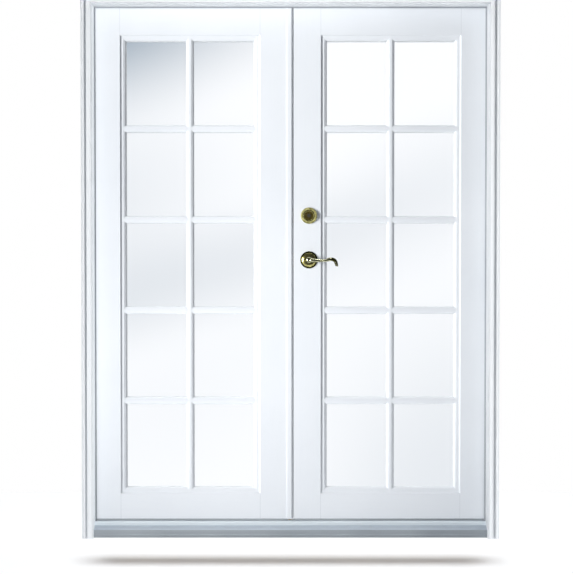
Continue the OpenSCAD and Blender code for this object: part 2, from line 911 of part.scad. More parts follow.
// Domed rose: a stepped rim, then a dome up to its neck bore
module rose(rim_r, bore_r, height) {
    rim_h = 3;
    ledge = 4;
    rotate_extrude()
        polygon(concat(
            [[bore_r, 0], [rim_r, 0], [rim_r, rim_h - 1], [rim_r - 1, rim_h], [rim_r - ledge, rim_h + 1]],
            [
                for (i = [0:arc_steps])
                    let (t = 90 * i / arc_steps, r0 = bore_r + 2)
                    [
                        r0 + (rim_r - ledge - 1 - r0) * cos(t),
                        rim_h + 1 + (height - rim_h - 1) * sin(t)
                    ]
            ],
            [[bore_r, height]]
        ));
}

// Path of the lever's arm as [share of its length, height, stand-out, half height, half depth]
lever_path = [
    [0.00, 0, 0, 9, 8],
    [0.20, -2, 1, 6.5, 6.5],
    [0.40, -3, 2, 4.8, 5.5],
    [0.60, -2.5, 2, 4.6, 5],
    [0.72, 1.5, 2, 5.6, 5],
    [0.83, 3.5, 1, 6.2, 4.6],
    [0.93, -1, 0, 5.2, 4.2],
    [0.98, -10, -1, 3.8, 3.6],
    [1.00, -20, -2, 3.2, 3.2],
    [1.01, -26, -3, 2.6, 2.6]
];
lever_sides = 16;
lever_sub = 3;

// Smooth curve through a list of points, at share t of the stretch after point i
function curve_point(p, i, t) =
    let (a = p[max(i - 1, 0)], b = p[i], c = p[i + 1], d = p[min(i + 2, len(p) - 1)])
    b + t * (c - a) / 2 + t * t * (a - 2.5 * b + 2 * c - d / 2)
        + t * t * t * (1.5 * (b - c) + (d - a) / 2);
function curve(p, sub) = concat(
    [for (i = [0:len(p) - 2]) for (k = [0:sub - 1]) curve_point(p, i, k / sub)],
    [p[len(p) - 1]]
);

// Arm of the lever: rings square to the path, joined into one skin
module lever_arm() {
    path = [
        for (p = curve(lever_path, lever_sub)) [p[0] * lever_l, p[1], lever_stand + p[2], p[3], p[4]]
    ];
    n = len(path);
    rings = [
        for (i = [0:n - 1])
            let (
                a = path[max(i - 1, 0)], b = path[min(i + 1, n - 1)],
                dx = b[0] - a[0], dy = b[1] - a[1], l = sqrt(dx * dx + dy * dy)
            )
            for (k = [0:lever_sides - 1])
                let (t = 360 * k / lever_sides, u = path[i][3] * cos(t))
                [path[i][0] - dy / l * u, path[i][1] + dx / l * u, path[i][2] + path[i][4] * sin(t)]
    ];
    sides = [
        for (i = [0:n - 2])
            for (k = [0:lever_sides - 1])
                let (a = i * lever_sides + k, b = i * lever_sides + (k + 1) % lever_sides)
                [a, a + lever_sides, b + lever_sides, b]
    ];
    polyhedron(
        points = rings,
        faces = concat(
            sides,
            [[for (k = [0:lever_sides - 1]) k]],
            [[for (k = [lever_sides - 1:-1:0]) (n - 1) * lever_sides + k]]
        ),
        convexity = 4
    );
}

// Lever: a turned neck with a domed end, and its arm
module lever() {
    neck_flare = 2.5;
    dome_h = 6;
    end_h = lever_stand + 4;
    rotate_extrude()
        polygon(concat(
            [[0, slide_fit], [neck_r, slide_fit], [neck_r, rose_h + 6]],
            [
                for (i = [0:arc_steps])
                    let (t = 90 * i / arc_steps)
                    [(neck_r + neck_flare) * cos(t), end_h - dome_h + dome_h * sin(t)]
            ]
        ));
    lever_arm();
}

cylinder_back = leaf_t / 2 - case_r - cut;
cylinder_face = collar_h - 3;

// Tapered collar round the lock cylinder
module collar() {
    rotate_extrude()
        polygon([
            [cylinder_r, 0], [collar_r, 0], [collar_r, 3], [collar_r - 1.5, 5],
            [cylinder_r + 5, collar_h], [cylinder_r + 2, collar_h], [cylinder_r, collar_h - 2]
        ]);
}

module cylinder_body() {
    bore_r = plug_r + slide_fit;
    rotate_extrude()
        polygon([
            [bore_r, -cylinder_back], [cylinder_r - 2, -cylinder_back], [cylinder_r - 2, 0],
            [cylinder_r, 0], [cylinder_r, cylinder_face], [bore_r, cylinder_face]
        ]);
}

// Key plug with its keyway
module plug() {
    keyway_w = 2.2;
    keyway_h = 9;
    keyway_d = 9;
    proud = 0.6;
    difference() {
        translate([0, 0, -cylinder_back])
            cylinder(r = plug_r, h = cylinder_back + cylinder_face + proud);
        translate([-keyway_w / 2, -keyway_h / 2, cylinder_face + proud - keyway_d])
            cube([keyway_w, keyway_h, keyway_d + cut]);
    }
}

thumb_neck_r = 7;
thumb_rose_h = 8;

// Thumbturn: a round neck and a disc-shaped grip
module thumb_grip() {
    grip_r = 15;
    grip_t = 6.5;
    grip_h = thumb_rose_h + grip_r + 1;
    translate([0, 0, -cylinder_back])
        cylinder(r = thumb_neck_r, h = cylinder_back + thumb_rose_h + 4);
    translate([0, 0, grip_h])
        rotate([90, 0, 0])
            cylinder(r = grip_r, h = grip_t, center = true);
}

// Nodes

module left_jamb() { color(paint) jamb(); }
module right_jamb() { color(paint) mirror([1, 0, 0]) jamb(); }
module head_jamb() {
    color(paint)
        difference() {
            along_x([
                [0, jamb_z], [0, stop_z], [shoulder_y, stop_z], [shoulder_y, rabbet_z - kerf_w],
                [shoulder_y - kerf_d, rabbet_z - kerf_w], [shoulder_y - kerf_d, rabbet_z],
                [jamb_d, rabbet_z], [jamb_d, jamb_z]
            ], -jamb_x, jamb_x);
            jamb_blanks();
            head_strike_blank(cut);
            head_bolt_hole(flush_r + strike_room, strike_bore_depth - leaf_gap + cut);
        }
}
module sill_base() {
    front = sill_y + toe_d + sill_t;
    color(mill_grey)
        sill_piece([
            [front, 0], [front, tread_z(front) - sill_t],
            [cap_y, base_z], [jamb_d, base_z], [jamb_d, 0]
        ]);
}
module sill_cover() {
    back = sill_y + toe_d + sill_t;
    color(mill_grey)
        sill_piece(concat(
            [
                [sill_y + toe_d, 0], [sill_y + toe_d, toe_h], [sill_y, toe_h + toe_d],
                [sill_y, drip_z - rib_w / 2], [sill_y - rib_h, drip_z - rib_w / 4],
                [sill_y - rib_h, drip_z + rib_w / 4], [sill_y, drip_z + rib_w / 2], [sill_y, sill_front_h]
            ],
            [for (k = [0:sill_ribs - 1]) for (p = rib_points(k)) p],
            [
                [cap_y, base_z + sill_t], [cap_y, base_z],
                [back, tread_z(back) - sill_t], [back, 0]
            ]
        ));
}
module threshold_cap() {
    edge = 3;
    color(cap_grey)
        difference() {
            sill_piece([
                [cap_y, base_z], [cap_y, cap_z - edge], [cap_y + edge, cap_z], [jamb_d - edge, cap_z],
                [jamb_d, cap_z - edge], [jamb_d, base_z]
            ]);
            sill_bolt_hole(flush_r + strike_room + socket_wall, socket_h);
        }
}
module left_casing() { color(casing_paint) side_casing(); }
module right_casing() { color(casing_paint) mirror([1, 0, 0]) side_casing(); }
module head_casing() { color(casing_paint) head_casing_shape(); }
module frame_weatherstrip() {
    color(seal_grey) {
        side_strip();
        mirror([1, 0, 0])
            side_strip();
        head_strip();
    }
}
module left_jamb_hinge_plates() { color(brass) jamb_hinge_plates(); }
module right_jamb_hinge_plates() { color(brass) mirror([1, 0, 0]) jamb_hinge_plates(); }
module left_hinge_pins() { color(brass) hinge_pins(); }
module right_hinge_pins() { color(brass) mirror([1, 0, 0]) hinge_pins(); }
module head_bolt_strike() {
    color(brass)
        difference() {
            head_strike_blank(0);
            head_bolt_hole(flush_r + strike_room, plate_t + cut);
        }
}
module sill_bolt_socket() {
    color(brass)
        difference() {
            translate([flush_x, leaf_mid_y, cap_z - socket_h])
                cylinder(r = flush_r + strike_room + socket_wall, h = socket_h);
            sill_bolt_hole(flush_r + strike_room, socket_h + cut);
        }
}

module passive_hinge_stile() { color(paint) hinge_stile(); }
module passive_meeting_stile() {
    color(paint)
        difference() {
            meeting_stile_blank();
            bolt_bore(deadbolt_z, deadbolt_r + strike_room, bolt_front_x - deadbolt_throw - 2);
        }
}
module passive_top_rail() { color(paint) top_rail(); }
module passive_bottom_rail() { color(paint) bottom_rail(); }
module passive_upright_bars() { color(paint) upright_bars(); }
module passive_cross_bars() { color(paint) cross_bars(); }
module passive_panes() { color(clear_glass) panes(); }
module passive_glazing_beads() { color(paint) glazing_beads(); }
module passive_hinge_plates() { color(brass) leaf_hinge_plates(); }
module passive_sweep() { color(seal_grey) sweep(0); }
module astragal() { color(paint) astragal_shape(); }
module astragal_seal() { color(seal_grey) astragal_seal_shape(); }
module latch_strike() { color(brass) strike(lever_z, latch_r); }
module deadbolt_strike() { color(brass) strike(deadbolt_z, deadbolt_r); }
module top_flush_bolt() {
    color(brass)
        translate([flush_x, leaf_mid_y, leaf_z1])
            flush_bolt();
}
module bottom_flush_bolt() {
    color(brass)
        translate([flush_x, leaf_mid_y, leaf_z0])
            mirror([0, 0, 1])
                flush_bolt();
}

module active_hinge_stile() { color(paint) mirror([1, 0, 0]) hinge_stile(); }
module active_lock_stile() { color(paint) lock_stile_shape(); }
module active_top_rail() { color(paint) mirror([1, 0, 0]) top_rail(); }
module active_bottom_rail() { color(paint) mirror([1, 0, 0]) bottom_rail(); }
module active_upright_bars() { color(paint) mirror([1, 0, 0]) upright_bars(); }
module active_cross_bars() { color(paint) mirror([1, 0, 0]) cross_bars(); }
module active_panes() { color(clear_glass) mirror([1, 0, 0]) panes(); }
module active_glazing_beads() { color(paint) mirror([1, 0, 0]) glazing_beads(); }
module active_hinge_plates() { color(brass) mirror([1, 0, 0]) leaf_hinge_plates(); }
module active_sweep() { color(seal_grey) mirror([1, 0, 0]) sweep(bevel_drop); }
module latch_case() { color(steel) bolt_case(lever_z, latch_r, spindle_w * sqrt(0.5) + turn_room); }
module latch_faceplate() { color(brass) faceplate(lever_z, latch_r); }
module latch_bolt() { color(brass) latch_shape(); }
module deadbolt_case() { color(steel) bolt_case(deadbolt_z, deadbolt_r, tail_w / 2 + turn_room); }
module deadbolt_faceplate() { color(brass) faceplate(deadbolt_z, deadbolt_r); }
module deadbolt_bolt() { color(brass) bolt_rod(deadbolt_z, deadbolt_r); }
module outer_rose() { color(brass) at_outer_face(lever_z) rose(rose_r, neck_r + turn_room, rose_h); }
module inner_rose() { color(brass) at_inner_face(lever_z) rose(rose_r, neck_r + turn_room, rose_h); }
module outer_lever() { color(brass) at_outer_face(lever_z) lever(); }
module inner_lever() { color(brass) at_inner_face(lever_z) mirror([0, 1, 0]) lever(); }
module lever_spindle() {
    color(steel)
        translate([lever_x, leaf_mid_y, lever_z])
            cube([spindle_w, leaf_t + 2 * slide_fit, spindle_w], center = true);
}
module deadbolt_collar() { color(brass) at_outer_face(deadbolt_z) collar(); }
module lock_cylinder() { color(dark_brass) at_outer_face(deadbolt_z) cylinder_body(); }
module key_plug() { color(dark_brass) at_outer_face(deadbolt_z) plug(); }
module thumbturn_rose() {
    color(brass)
        at_inner_face(deadbolt_z)
            rose(collar_r, thumb_neck_r + turn_room, thumb_rose_h);
}
module thumbturn() { color(brass) at_inner_face(deadbolt_z) thumb_grip(); }
module thumbturn_tailpiece() {
    back = jamb_d - cylinder_back;
    front = leaf_y0 + cylinder_back + turn_room;
    color(steel)
        translate([lever_x - tail_t / 2, front, deadbolt_z - tail_w / 2])
            cube([tail_t, back - front, tail_w]);
}

// All sections start at the wall's outer face; the whole stands on the middle of the jamb's depth
translate([0, -jamb_d / 2, 0]) {
    left_jamb();
    right_jamb();
    head_jamb();
    sill_base();
    sill_cover();
    threshold_cap();
    left_casing();
    right_casing();
    head_casing();
    frame_weatherstrip();
    left_jamb_hinge_plates();
    right_jamb_hinge_plates();
    left_hinge_pins();
    right_hinge_pins();
    head_bolt_strike();
    sill_bolt_socket();
    passive_hinge_stile();
    passive_meeting_stile();
    passive_top_rail();
    passive_bottom_rail();
    passive_upright_bars();
    passive_cross_bars();
    passive_panes();
    passive_glazing_beads();
    passive_hinge_plates();
    passive_sweep();
    astragal();
    astragal_seal();
    latch_strike();
    deadbolt_strike();
    top_flush_bolt();
    bottom_flush_bolt();
    active_hinge_stile();
    active_lock_stile();
    active_top_rail();
    active_bottom_rail();
    active_upright_bars();
    active_cross_bars();
    active_panes();
    active_glazing_beads();
    active_hinge_plates();
    active_sweep();
    latch_case();
    latch_faceplate();
    latch_bolt();
    deadbolt_case();
    deadbolt_faceplate();
    deadbolt_bolt();
    outer_rose();
    inner_rose();
    outer_lever();
    inner_lever();
    lever_spindle();
    deadbolt_collar();
    lock_cylinder();
    key_plug();
    thumbturn_rose();
    thumbturn();
    thumbturn_tailpiece();
}
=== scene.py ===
"""French doors: a pair of painted wood leaves with five rows of panes, hung in a moulded frame over a
metal sill, with an antique brass lever and deadbolt."""

import math

import bmesh
import bpy
from mathutils import Matrix, Vector


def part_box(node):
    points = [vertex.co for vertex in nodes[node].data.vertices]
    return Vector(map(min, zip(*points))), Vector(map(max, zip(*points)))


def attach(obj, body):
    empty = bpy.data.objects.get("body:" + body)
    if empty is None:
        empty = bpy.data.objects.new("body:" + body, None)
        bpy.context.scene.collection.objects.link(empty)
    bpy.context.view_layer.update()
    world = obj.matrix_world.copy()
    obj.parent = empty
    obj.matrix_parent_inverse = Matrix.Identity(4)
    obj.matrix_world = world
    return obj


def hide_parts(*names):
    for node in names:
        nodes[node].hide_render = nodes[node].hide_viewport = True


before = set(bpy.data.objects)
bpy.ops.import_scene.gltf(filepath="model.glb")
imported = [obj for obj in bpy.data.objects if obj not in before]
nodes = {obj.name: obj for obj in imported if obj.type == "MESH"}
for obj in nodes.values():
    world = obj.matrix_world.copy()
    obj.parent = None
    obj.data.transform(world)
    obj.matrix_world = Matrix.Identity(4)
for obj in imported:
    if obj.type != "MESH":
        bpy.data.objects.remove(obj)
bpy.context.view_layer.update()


# Frame and casing
# Finger-jointed pine jambs, head and stepped outside casing, primed and painted in cool white satin.
# The jambs are housed into the head, and the mitred casing is nailed to their front edges.
FRAME_WHITE = (0.925, 0.945, 0.960, 1)
FRAME_SHADE = (0.885, 0.910, 0.930, 1)
ALONG_Z = (420, 420, 9)
ALONG_X = (9, 420, 420)


def add(tree, kind, inputs=None, **settings):
    """A new node with its settings, and its inputs set to values or linked to sockets."""
    node = tree.nodes.new(kind)
    for key, value in settings.items():
        setattr(node, key, value)
    for key, value in (inputs or {}).items():
        if isinstance(value, bpy.types.NodeSocket):
            tree.links.new(value, node.inputs[key])
        else:
            node.inputs[key].default_value = value
    return node


def new_group(name, inputs, outputs):
    """An empty shader node group with its sockets, and its input and output nodes."""
    tree = bpy.data.node_groups.new(name, "ShaderNodeTree")
    for socket, kind in inputs:
        tree.interface.new_socket(name=socket, in_out="INPUT", socket_type=kind)
    for socket, kind in outputs:
        tree.interface.new_socket(name=socket, in_out="OUTPUT", socket_type=kind)
    return tree, add(tree, "NodeGroupInput"), add(tree, "NodeGroupOutput")


def new_material(name, **values):
    """A material, its node tree and its Principled shader, with plain values set on the shader."""
    material = bpy.data.materials.new(name)
    material.use_nodes = True
    tree = material.node_tree
    shader = tree.nodes["Principled BSDF"]
    for key, value in values.items():
        shader.inputs[key.replace("_", " ")].default_value = value
    return material, tree, shader


def feed(tree, shader, colour, roughness, normal):
    """Links what changes over the surface to the shader."""
    tree.links.new(colour, shader.inputs["Base Color"])
    tree.links.new(roughness, shader.inputs["Roughness"])
    tree.links.new(normal, shader.inputs["Normal"])


def dress(material, *names):
    """Gives the named solids this material."""
    for name in names:
        for slot in nodes[name].material_slots:
            slot.material = material


def brushed_film():
    """Group: a brushed paint film with laid-off marks, a soft mottle and a fine stipple."""
    tree, given, made = new_group(
        "Brushed film",
        [("Vector", "NodeSocketVector"), ("Marks", "NodeSocketVector")],
        [("Tone", "NodeSocketFloat"), ("Roughness", "NodeSocketFloat"), ("Height", "NodeSocketFloat")],
    )
    laid = add(tree, "ShaderNodeVectorMath", operation="MULTIPLY",
               inputs={0: given.outputs["Vector"], 1: given.outputs["Marks"]})
    marks = add(tree, "ShaderNodeTexNoise", inputs={
        "Vector": laid.outputs[0], "Scale": 1, "Detail": 3, "Roughness": 0.6})
    stipple = add(tree, "ShaderNodeTexNoise", inputs={
        "Vector": given.outputs["Vector"], "Scale": 650, "Detail": 1})
    mottle = add(tree, "ShaderNodeTexNoise", inputs={
        "Vector": given.outputs["Vector"], "Scale": 2.6, "Detail": 2})
    tone = add(tree, "ShaderNodeMath", operation="MULTIPLY_ADD", inputs={
        0: marks.outputs["Fac"], 1: 0.35, 2: mottle.outputs["Fac"]})
    spread = add(tree, "ShaderNodeMapRange", inputs={
        "Value": tone.outputs[0], "From Min": 0.45, "From Max": 0.9})
    rough = add(tree, "ShaderNodeMapRange", inputs={
        "Value": marks.outputs["Fac"], "To Min": 0.36, "To Max": 0.52})
    height = add(tree, "ShaderNodeMath", operation="MULTIPLY_ADD", inputs={
        0: stipple.outputs["Fac"], 1: 0.4, 2: marks.outputs["Fac"]})
    tree.links.new(spread.outputs[0], made.inputs["Tone"])
    tree.links.new(rough.outputs[0], made.inputs["Roughness"])
    tree.links.new(height.outputs[0], made.inputs["Height"])
    return tree


BRUSHED_FILM = brushed_film()


def paint(name, white, shade, marks):
    """Cool white satin paint laid off along one direction."""
    material, tree, shader = new_material(name, Specular_IOR_Level=0.45)
    place = add(tree, "ShaderNodeTexCoord")
    film = add(tree, "ShaderNodeGroup", node_tree=BRUSHED_FILM,
               inputs={"Vector": place.outputs["Object"], "Marks": marks})
    colour = add(tree, "ShaderNodeMix", data_type="RGBA", inputs={
        "Factor": film.outputs["Tone"], "A": white, "B": shade})
    bump = add(tree, "ShaderNodeBump", inputs={
        "Height": film.outputs["Height"], "Strength": 0.12, "Distance": 0.0004})
    feed(tree, shader, colour.outputs["Result"], film.outputs["Roughness"], bump.outputs["Normal"])
    return material


dress(paint("frame paint upright", FRAME_WHITE, FRAME_SHADE, ALONG_Z),
      "left_jamb", "right_jamb", "left_casing", "right_casing")
dress(paint("frame paint level", FRAME_WHITE, FRAME_SHADE, ALONG_X), "head_jamb", "head_casing")


# Sill
# An extruded aluminium tread with anti-slip ribs, clipped over a softwood base between the jambs, and a
# pale moulded threshold cap behind it that the leaves close over.
ALUMINIUM = (0.50, 0.545, 0.585, 1)
ALUMINIUM_DULL = (0.36, 0.40, 0.44, 1)
CAP_PALE = (0.77, 0.835, 0.875, 1)
CAP_SHADE = (0.70, 0.77, 0.82, 1)
SILL_PINE = (0.50, 0.36, 0.21, 1)
SILL_PINE_DARK = (0.36, 0.23, 0.12, 1)
# Where the sill's face meets its tread, and its painted tones: the tread brightened as painted reflection,
# the face darkened towards its foot as painted shade
TREAD_Z, FACE_Z = 0.031, 0.0265
TREAD_TONE, FACE_TOP_TONE, FACE_FOOT_TONE = 1.30, 0.88, 0.79


def drawn_metal(name, bright, dull, marks, roughness, bump_strength=0.08):
    """Metal with fine lines along the way it was drawn or rolled, and dull patches."""
    material, tree, shader = new_material(name, Metallic=1.0)
    place = add(tree, "ShaderNodeTexCoord")
    lines = add(tree, "ShaderNodeGroup", node_tree=BRUSHED_FILM,
                inputs={"Vector": place.outputs["Object"], "Marks": marks})
    colour = add(tree, "ShaderNodeMix", data_type="RGBA", inputs={
        "Factor": lines.outputs["Tone"], "A": bright, "B": dull})
    rough = add(tree, "ShaderNodeMapRange", inputs={
        "Value": lines.outputs["Tone"], "To Min": roughness[0], "To Max": roughness[1]})
    bump = add(tree, "ShaderNodeBump", inputs={
        "Height": lines.outputs["Height"], "Strength": bump_strength, "Distance": 0.0003})
    feed(tree, shader, colour.outputs["Result"], rough.outputs[0], bump.outputs["Normal"])
    return material


def moulded(name, light, dark, grain, roughness, bump_strength=0.1):
    """Moulded plastic, rubber or raw wood: a two-tone mottle, and a grain of the given scale."""
    material, tree, shader = new_material(name)
    place = add(tree, "ShaderNodeTexCoord")
    film = add(tree, "ShaderNodeGroup", node_tree=BRUSHED_FILM,
               inputs={"Vector": place.outputs["Object"], "Marks": grain})
    colour = add(tree, "ShaderNodeMix", data_type="RGBA", inputs={
        "Factor": film.outputs["Tone"], "A": light, "B": dark})
    rough = add(tree, "ShaderNodeMapRange", inputs={
        "Value": film.outputs["Roughness"], "From Min": 0.36, "From Max": 0.52,
        "To Min": roughness[0], "To Max": roughness[1]})
    bump = add(tree, "ShaderNodeBump", inputs={
        "Height": film.outputs["Height"], "Strength": bump_strength, "Distance": 0.0004})
    feed(tree, shader, colour.outputs["Result"], rough.outputs[0], bump.outputs["Normal"])
    return material


def along(tree, axis):
    """The place on a piece along one axis."""
    place = add(tree, "ShaderNodeTexCoord")
    return add(tree, "ShaderNodeSeparateXYZ", inputs={0: place.outputs["Object"]}).outputs[axis]


def base_colour(material):
    """A material's tree, the shader's colour input and what feeds it so far."""
    tree = material.node_tree
    base = tree.nodes["Principled BSDF"].inputs["Base Color"]
    return tree, base, base.links[0].from_socket


def sill_painted_shade(material):
    """Paints shade on the sill's upright face, darker towards the ground, and a painted reflection that
    brightens its tread.
    """
    tree, base, bare = base_colour(material)
    height = along(tree, "Z")
    face = add(tree, "ShaderNodeMapRange", inputs={
        "Value": height, "From Max": FACE_Z, "To Min": FACE_FOOT_TONE, "To Max": FACE_TOP_TONE})
    nose = add(tree, "ShaderNodeMapRange", interpolation_type="SMOOTHSTEP", inputs={
        "Value": height, "From Min": FACE_Z, "From Max": TREAD_Z, "To Max": TREAD_TONE})
    shade = add(tree, "ShaderNodeMath", operation="MAXIMUM", inputs={
        0: face.outputs[0], 1: nose.outputs[0]})
    colour = add(tree, "ShaderNodeVectorMath", operation="SCALE", inputs={
        0: bare, "Scale": shade.outputs[0]})
    tree.links.new(colour.outputs[0], base)
    return material


aluminium = drawn_metal("mill aluminium", ALUMINIUM, ALUMINIUM_DULL, (3, 900, 900), (0.30, 0.46))
dress(sill_painted_shade(aluminium), "sill_cover")
dress(moulded("pale threshold cap", CAP_PALE, CAP_SHADE, (14, 300, 300), (0.40, 0.55)), "threshold_cap")
dress(moulded("sill softwood", SILL_PINE, SILL_PINE_DARK, (5, 220, 160), (0.6, 0.8), 0.3), "sill_base")


# Seals
# Grey foam-filled weatherstrip pressed into the kerf of the frame, a vinyl sweep under each leaf, and a
# pale bulb of vinyl along the meeting strip.
SEAL_GREY = (0.36, 0.385, 0.41, 1)
SEAL_DARK = (0.28, 0.30, 0.325, 1)
SWEEP_GREY = (0.50, 0.53, 0.555, 1)
BULB_GREY = (0.80, 0.82, 0.84, 1)
BULB_DARK = (0.70, 0.72, 0.75, 1)
BOTH_WAYS = (160, 160, 160)
dress(moulded("weatherstrip rubber", SEAL_GREY, SEAL_DARK, BOTH_WAYS, (0.55, 0.75), 0.2),
      "frame_weatherstrip")
dress(moulded("sweep vinyl", SWEEP_GREY, SEAL_GREY, BOTH_WAYS, (0.5, 0.7), 0.2),
      "passive_sweep", "active_sweep")
dress(moulded("bulb seal vinyl", BULB_GREY, BULB_DARK, BOTH_WAYS, (0.5, 0.7), 0.2), "astragal_seal")


# Leaves
# Stiles, rails and glazing bars of painted wood, coped and doweled together. The moulded edge is worked
# on the wood itself, and mitred beads hold the panes from the room side.
LEAF_WHITE = (0.835, 0.862, 0.893, 1)
LEAF_SHADE = (0.795, 0.826, 0.862, 1)
SIDES = ("passive", "active")
HAIRLINE_W = 0.0011
HAIRLINE_SHADE = (0.42, 0.45, 0.49, 1)


def hairlines(material, low, high):
    """Darkens the paint where it has opened along both ends of a rail, at these distances from x = 0."""
    tree, base, bare = base_colour(material)
    across = add(tree, "ShaderNodeMath", operation="ABSOLUTE", inputs={0: along(tree, "X")})
    from_low = add(tree, "ShaderNodeMath", operation="SUBTRACT", inputs={0: across.outputs[0], 1: low})
    from_high = add(tree, "ShaderNodeMath", operation="SUBTRACT", inputs={0: high, 1: across.outputs[0]})
    near = add(tree, "ShaderNodeMath", operation="MINIMUM", inputs={
        0: from_low.outputs[0], 1: from_high.outputs[0]})
    line = add(tree, "ShaderNodeMapRange", interpolation_type="SMOOTHSTEP", inputs={
        "Value": near.outputs[0], "From Max": HAIRLINE_W, "To Min": 1, "To Max": 0})
    mixed = add(tree, "ShaderNodeMix", data_type="RGBA", inputs={
        "Factor": line.outputs[0], "A": bare, "B": HAIRLINE_SHADE})
    tree.links.new(mixed.outputs["Result"], base)
    return material


rail_low, rail_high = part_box("active_top_rail")
paint_upright = paint("leaf paint upright", LEAF_WHITE, LEAF_SHADE, ALONG_Z)
paint_level = paint("leaf paint level", LEAF_WHITE, LEAF_SHADE, ALONG_X)
paint_rails = hairlines(paint("leaf paint rails", LEAF_WHITE, LEAF_SHADE, ALONG_X), rail_low.x, rail_high.x)
paint_beads = paint("leaf paint beads", LEAF_WHITE, LEAF_SHADE, BOTH_WAYS)
dress(paint_upright, "passive_hinge_stile", "passive_meeting_stile", "active_hinge_stile",
      "active_lock_stile", "astragal")
for side in SIDES:
    dress(paint_rails, f"{side}_top_rail", f"{side}_bottom_rail")
    dress(paint_upright, f"{side}_upright_bars")
    dress(paint_level, f"{side}_cross_bars")
    dress(paint_beads, f"{side}_glazing_beads")


# Panes
# Clear float glass with a faint cool tint and the slow waviness that a drawn sheet keeps. Each pane lies
# in the rebate of stiles, rails and bars, under its beads.
GLASS_TINT = (0.985, 0.993, 0.995, 1)


def float_glass():
    """Glass that lets lamps through, with a very slight roll in its face."""
    material, tree, shader = new_material(
        "float glass", Base_Color=GLASS_TINT, Roughness=0.015, IOR=1.5, Transmission_Weight=1.0)
    place = add(tree, "ShaderNodeTexCoord")
    roll = add(tree, "ShaderNodeTexNoise", inputs={
        "Vector": place.outputs["Object"], "Scale": 5, "Detail": 0})
    bump = add(tree, "ShaderNodeBump", inputs={
        "Height": roll.outputs["Fac"], "Strength": 0.05, "Distance": 0.002})
    tree.links.new(bump.outputs["Normal"], shader.inputs["Normal"])
    path = add(tree, "ShaderNodeLightPath")
    clear = add(tree, "ShaderNodeBsdfTransparent", inputs={"Color": GLASS_TINT})
    mixed = add(tree, "ShaderNodeMixShader", inputs={
        0: path.outputs["Is Shadow Ray"], 1: shader.outputs[0], 2: clear.outputs[0]})
    tree.links.new(mixed.outputs[0], tree.nodes["Material Output"].inputs["Surface"])
    return material


dress(float_glass(), "passive_panes", "active_panes")


# Hinges
# Five-knuckle butt hinges in satin brass, let in flush with the edges of leaf and jamb. Each plate is
# held by four countersunk screws with a cross recess.
SATIN_BRASS = (0.60, 0.47, 0.21, 1)
SATIN_BRASS_DULL = (0.42, 0.31, 0.12, 1)
HINGE_HEIGHTS = (0.395, 1.1095, 1.824)
HINGE_SCREWS = ((0.035, -0.038), (0.046, -0.0135), (0.035, 0.0135), (0.046, 0.038))
HINGE_SCREW_R = 0.0042
HINGE_SCREW_TURN = 0.7
satin_brass = drawn_metal("satin brass", SATIN_BRASS, SATIN_BRASS_DULL, (500, 500, 20), (0.26, 0.42))
dress(satin_brass, "left_jamb_hinge_plates", "right_jamb_hinge_plates", "left_hinge_pins",
      "right_hinge_pins", "passive_hinge_plates", "active_hinge_plates")


def screw_head(radius):
    """Mesh of one countersunk head in the XY plane, proud by a hair, with a cross recess in its face."""
    proud, sunk, level = 0.00025, 0.0006, 0.99
    arm_w, arm_l, recess_d, edge_r = radius * 0.24, radius * 0.62, radius * 0.4, radius * 0.09
    bm = bmesh.new()
    bmesh.ops.create_circle(bm, cap_ends=True, segments=20, radius=radius)
    rim = bmesh.ops.extrude_edge_only(bm, edges=bm.edges[:])
    lower = [v for v in rim["geom"] if isinstance(v, bmesh.types.BMVert)]
    bmesh.ops.translate(bm, verts=lower, vec=(0, 0, -sunk - proud))
    lower_edges = [e for e in rim["geom"] if isinstance(e, bmesh.types.BMEdge) and e.is_boundary]
    bmesh.ops.holes_fill(bm, edges=lower_edges, sides=0)
    top_rim = [e for e in bm.edges if all(v not in lower for v in e.verts)]
    bmesh.ops.bevel(bm, geom=top_rim, offset=edge_r, offset_type="OFFSET", segments=2,
                    profile=0.5, affect="EDGES", material=-1)
    for axis in (Vector((1, 0, 0)), Vector((0, 1, 0))):
        for reach in (-arm_l, -arm_w / 2, arm_w / 2, arm_l):
            top = [f for f in bm.faces if f.normal.z > level]
            geom = top + list({e for f in top for e in f.edges}) + list({v for f in top for v in f.verts})
            bmesh.ops.bisect_plane(bm, geom=geom, plane_co=axis * reach, plane_no=axis)
            bm.normal_update()
    cross = []
    for face in bm.faces:
        centre = face.calc_center_median()
        small, large = sorted((abs(centre.x), abs(centre.y)))
        if face.normal.z > level and small < arm_w / 2 and large < arm_l:
            cross.append(face)
    deep = bmesh.ops.extrude_face_region(bm, geom=cross)
    bmesh.ops.delete(bm, geom=cross, context="FACES_ONLY")
    floor_verts = [v for v in deep["geom"] if isinstance(v, bmesh.types.BMVert)]
    bmesh.ops.translate(bm, verts=floor_verts, vec=(0, 0, -recess_d))
    bmesh.ops.translate(bm, verts=bm.verts[:], vec=(0, 0, proud))
    bmesh.ops.recalc_face_normals(bm, faces=bm.faces[:])
    mesh = bpy.data.meshes.new("screw head")
    bm.to_mesh(mesh)
    bm.free()
    return mesh


def finish_piece(name, bm, material, body, smooth=True):
    """A piece made from a finished bmesh, riding on its body."""
    mesh = bpy.data.meshes.new(name)
    bm.to_mesh(mesh)
    bm.free()
    mesh.materials.append(material)
    if smooth:
        mesh.shade_smooth()
    piece = bpy.data.objects.new(name, mesh)
    bpy.context.scene.collection.objects.link(piece)
    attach(piece, body)
    return piece


def screws(name, radius, places, material, body):
    """One piece holding a screw head at each place, its face looking along the place's own Z."""
    head = screw_head(radius)
    bm = bmesh.new()
    for place in places:
        before = len(bm.verts)
        bm.from_mesh(head)
        bm.verts.ensure_lookup_table()
        bmesh.ops.transform(bm, matrix=place, verts=bm.verts[before:])
    bpy.data.meshes.remove(head)
    return finish_piece(name, bm, material, body, smooth=False)


